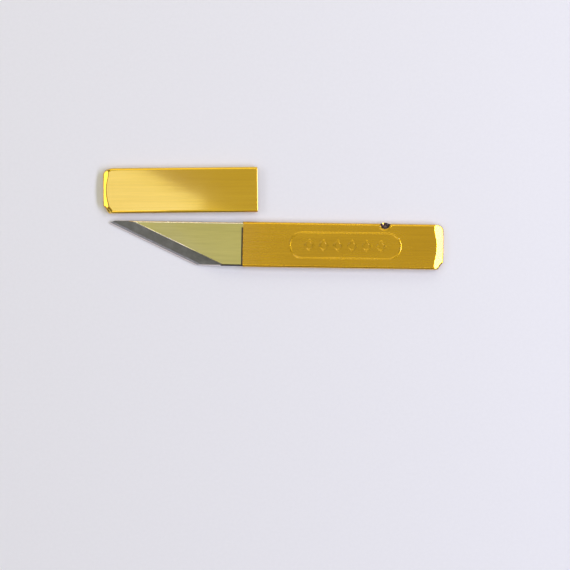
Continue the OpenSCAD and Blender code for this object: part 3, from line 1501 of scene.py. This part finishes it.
@dataclass
class Knife:
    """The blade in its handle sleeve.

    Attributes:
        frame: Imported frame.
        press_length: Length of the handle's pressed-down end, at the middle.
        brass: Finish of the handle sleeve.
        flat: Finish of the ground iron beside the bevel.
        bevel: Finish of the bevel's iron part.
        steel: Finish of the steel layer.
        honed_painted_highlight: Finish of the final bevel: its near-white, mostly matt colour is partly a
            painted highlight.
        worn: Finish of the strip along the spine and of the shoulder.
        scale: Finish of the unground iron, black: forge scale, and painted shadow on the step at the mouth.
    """

    frame: dict
    press_length: float = 2.5
    brass: BrushedMetal = BrushedMetal(
        name="handle brass",
        light=(0.81, 0.465, 0.009),
        deep=(0.62, 0.34, 0.002),
        roughness=0.2,
        spread=0.06,
        along=30.0,
        across=1400.0,
        groove=1e-6,
        lacquer=0.7,
    )
    flat: BrushedMetal = BrushedMetal(
        name="lacquered iron",
        light=(0.7, 0.63, 0.185),
        deep=(0.57, 0.51, 0.135),
        roughness=0.3,
        spread=0.08,
        along=90.0,
        across=4200.0,
        groove=1e-6,
        lacquer=0.3,
    )
    bevel: GroundMetal = GroundMetal("ground iron", (0.34, 0.34, 0.33), (0.23, 0.23, 0.23), 0.34)
    steel: GroundMetal = GroundMetal("ground steel", (0.66, 0.66, 0.67), (0.54, 0.54, 0.55), 0.28)
    # Final bevel: finely ground steel whose near-white, mostly matt colour is partly a painted highlight.
    honed_painted_highlight: GroundMetal = GroundMetal("honed steel", (1.0, 0.92, 0.88), (0.95, 0.85, 0.8), 0.4, metal=0.3)
    worn: GroundMetal = GroundMetal("burnished iron", (0.97, 0.88, 0.68), (0.9, 0.8, 0.58), 0.2, turn=0.0)
    # Black unground iron; on the step at the mouth it is painted shadow.
    scale: ForgeScaleAndShadow = ForgeScaleAndShadow("forge scale and painted shadow", (0.06, 0.05, 0.045), (0.016, 0.012, 0.012))

    def build(self, effects: Effects) -> None:
        """Build the handle sleeve and the two layers of the blade.

        Args:
            effects: Shared surface effects.
        """
        low, high = (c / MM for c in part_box("handle_sleeve"))
        sleeve = HandleSleeve(high.x - low.x, self.press_length, -2 * low.y)
        place = TO_METRES @ Matrix.Translation((low.x, 0, 0))
        # Dark colour in the stake's punch mark, partly painted shade of its hollow.
        residue_and_shade = PunchResidueAndShade(place @ sleeve.stake.centre(sleeve), sleeve.stake.radius * MM)
        brass = replace(self.brass, residue_and_shade=residue_and_shade).material(effects)
        Piece.HANDLE.lay(sleeve.build(), place, [brass])
        self.build_blade(effects, low.x, low.x + sleeve.stake.x)

    def build_blade(self, effects: Effects, mouth: float, stake: float) -> None:
        """Build the blade's iron body and steel layer.

        Args:
            effects: Shared surface effects.
            mouth: Place of the handle's mouth along the knife.
            stake: Place of the stake along the knife.
        """
        blade = Blade()
        iron, steel = (blade.copy(self.frame["nodes"][p.node]) for p in (Piece.IRON, Piece.STEEL))
        blade.centre_notch(iron, stake)
        planes = [p for shape in (iron, steel) for p in blade.edge_planes(shape) + blade.heel_planes(shape)]
        finishes = (self.flat, self.bevel, self.scale, self.honed_painted_highlight, self.worn)
        materials = [finish.material(effects) for finish in finishes]
        edge = [self.steel.material(effects)] + materials[1:]
        for piece, shape, finish in ((Piece.IRON, iron, materials), (Piece.STEEL, steel, edge)):
            blade.shave(shape, planes)
            if piece is Piece.IRON:
                blade.slope_spine(shape)
                blade.round_shoulder(shape)
                blade.soften(shape, mouth)
            blade.mark_faces(shape, planes, mouth)
            piece.lay(shape, TO_METRES, finish)


@dataclass
class Cap:
    """The cap, drawn off and laid beside the blade.

    Attributes:
        frame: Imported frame.
        length: Length over all.
        press_length: Length of its pressed-down end, at the middle.
        brass: Finish of the cap sleeve.
    """

    frame: dict
    length: float = 53.8
    press_length: float = 1.1
    brass: BrushedMetal = BrushedMetal(
        name="cap brass",
        light=(0.89, 0.56, 0.03),
        deep=(0.78, 0.47, 0.01),
        roughness=0.04,
        spread=0.02,
        along=30.0,
        across=1400.0,
        groove=0.3e-6,
        lacquer=0.7,
    )

    def build(self, effects: Effects) -> None:
        """Build the cap where its node lies, with its closed end away from the handle.

        Args:
            effects: Shared surface effects.
        """
        axis = self.frame["joints"][0]["axis"]
        turn = math.atan2(-axis[1], -axis[0])
        width = -2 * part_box("handle_sleeve")[0].y / MM
        shape = Sleeve(self.length, self.press_length, width).build()
        turned = Matrix.Rotation(turn, 4, "Z") @ Matrix.Diagonal((-1, 1, 1, 1))
        spots = [turned @ v.co for v in shape.verts]
        shift = sum((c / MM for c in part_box("cap_sleeve")), Vector()) / 2
        shift -= Vector([(min(s[i] for s in spots) + max(s[i] for s in spots)) / 2 for i in range(3)])
        shift.z = 0
        place = TO_METRES @ Matrix.Translation(shift) @ turned
        Piece.CAP.lay(shape, place, [replace(self.brass, turn=turn).material(effects)])


# Studio


@dataclass(frozen=True)
class Softbox:
    """Rectangular studio light.

    Attributes:
        name: Name of the light.
        place: Its middle, measured from the middle of the picture, in metres.
        size: Width and height, in metres.
        glow: Brightness of its surface, where a white floor under an even sky of 1 shows as white.
        colour: Colour of its light.
        down: Whether it faces straight down, and not the middle of the picture.
        roll: Turn about its own axis, in radians.
    """

    name: str
    place: tuple[float, float, float]
    size: tuple[float, float]
    glow: float
    colour: Colour
    down: bool = False
    roll: float = 0.0

    def build(self, middle: Vector) -> bpy.types.Object:
        """Add the light to the scene.

        Args:
            middle: Middle of the picture, in metres.

        Returns:
            The light's object.
        """
        light = bpy.data.lights.new(self.name, "AREA")
        light.shape = "RECTANGLE"
        light.size, light.size_y = self.size
        light.energy = self.glow * math.pi * self.size[0] * self.size[1]
        light.color = self.colour
        made = show(self.name, light)
        place = Vector(self.place)
        made.location = middle + place
        facing = (DOWN if self.down else Vector() - place).to_track_quat("-Z", "Y")
        made.rotation_euler = (facing.to_matrix() @ Matrix.Rotation(self.roll, 3, "Z")).to_euler()
        made.visible_camera = False
        return made


@dataclass
class Studio:
    """Plain pale floor, soft lights, and the camera straight above, as in the photograph.

    Attributes:
        middle: Point of the row's frame in the middle of the picture, in millimetres.
        turn: Angle of the knife in the picture, in radians.
        across: Width of the picture at the knife, in millimetres.
        height: Height of the camera above the floor, in metres.
        sensor: Width of the camera's sensor, in millimetres.
        floor: Reach of the floor on every side, in metres.
        paper: Finish of the floor.
        sky: Brightness of the surroundings.
        sky_colour: Their colour.
        backdrop: Colour in which they show past the floor's edge.
        lights: The lights.
    """

    middle: tuple[float, float] = (-20.1, -14.0)
    turn: float = math.radians(0.85)
    across: float = 199.5
    height: float = 0.55
    sensor: float = 36.0
    floor: float = 1.1
    paper: Paper = Paper("pale paper", (0.82, 0.812, 0.72), (0.78, 0.772, 0.68))
    sky: float = 0.24
    sky_colour: Colour = (1.0, 0.98, 0.78)
    backdrop: Colour = (0.8, 0.79, 0.8)
    lights: tuple[Softbox, ...] = (
        Softbox("ceiling", (0.05, 0.0, 1.4), (1.0, 0.9), 0.36, (1.0, 0.97, 0.86), down=True),
        Softbox("right window", (0.85, 0.0, 0.68), (1.1, 0.22), 11.0, (0.95, 0.98, 1.6)),
        Softbox("left panel", (-0.85, 0.1, 0.65), (0.9, 0.3), 2.0, (1.0, 0.97, 1.4)),
        Softbox("near left panel", (-0.26, -0.4, 1.38), (0.24, 0.4), 2.0, (1.0, 0.97, 1.6), down=True),
        Softbox("far panel", (0.0, 1.1, 0.55), (1.4, 0.4), 2.0, (1.0, 0.97, 0.9)),
        Softbox("far high panel", (0.0, 0.75, 1.25), (1.2, 0.4), 1.4, (1.0, 0.97, 0.8)),
        Softbox("near high panel", (-0.1, -0.75, 1.25), (1.2, 0.4), 1.1, (1.0, 0.97, 0.8)),
        Softbox(
            "slanted panel",
            (-0.2632, 0.14, 1.38),
            (0.34, 0.08),
            1.0,
            (0.52, 0.7, 3.6),
            down=True,
            roll=math.radians(-26),
        ),
        Softbox(
            "slanted panel's faint end",
            (-0.0834, 0.0523, 1.38),
            (0.06, 0.08),
            0.35,
            (0.6, 0.7, 1.0),
            down=True,
            roll=math.radians(-26),
        ),
    )

    def build(self, effects: Effects) -> None:
        """Add the camera, the floor, the surroundings and the lights.

        Args:
            effects: Shared surface effects.
        """
        middle = Vector((*self.middle, 0)) * MM
        self.add_camera(middle)
        self.add_floor(middle, effects)
        self.add_sky()
        for light in self.lights:
            light.build(middle)

    def add_camera(self, middle: Vector) -> None:
        """Set the camera straight above the middle of the picture.

        Args:
            middle: Middle of the picture, in metres.
        """
        data = bpy.data.cameras.new("camera")
        data.sensor_width = self.sensor
        data.lens = self.sensor * self.height / (self.across * MM)
        camera = show("camera", data)
        camera.location = middle + Z_AXIS * self.height
        camera.rotation_euler = (0, 0, self.turn)
        bpy.context.scene.camera = camera

    def add_floor(self, middle: Vector, effects: Effects) -> None:
        """Lay a pale matt floor under the knife.

        Args:
            middle: Middle of the picture, in metres.
            effects: Shared surface effects.
        """
        shape = bmesh.new()
        bmesh.ops.create_grid(shape, x_segments=1, y_segments=1, size=self.floor)
        bmesh.ops.translate(shape, vec=middle, verts=shape.verts)
        mesh = bpy.data.meshes.new("floor")
        shape.to_mesh(mesh)
        shape.free()
        mesh.materials.append(self.paper.material(effects))
        show("floor", mesh)

    def add_sky(self) -> None:
        """Surround the scene with an even dim light, seen as a pale backdrop past the floor's edge."""
        world = bpy.data.worlds.new("dim room")
        bpy.context.scene.world = world
        world.use_nodes = True
        nodes = Nodes(world.node_tree)
        light = nodes.add("Background", self.sky_colour, self.sky)
        seen = nodes.add("Background", self.backdrop, 1.0)
        camera = nodes.add("LightPath").outputs["Is Camera Ray"]
        both = nodes.add("MixShader", camera, light.outputs[0], seen.outputs[0])
        nodes.add("OutputWorld", both.outputs[0])
        bpy.context.scene.view_settings.view_transform = "Standard"


def main() -> None:
    """Build the studio, the knife and its cap."""
    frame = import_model()
    effects = Effects()
    Studio().build(effects)
    Knife(frame).build(effects)
    Cap(frame).build(effects)


if __name__ == "__main__":
    logging.basicConfig(level=logging.INFO, format="%(name)s: %(message)s")
    main()
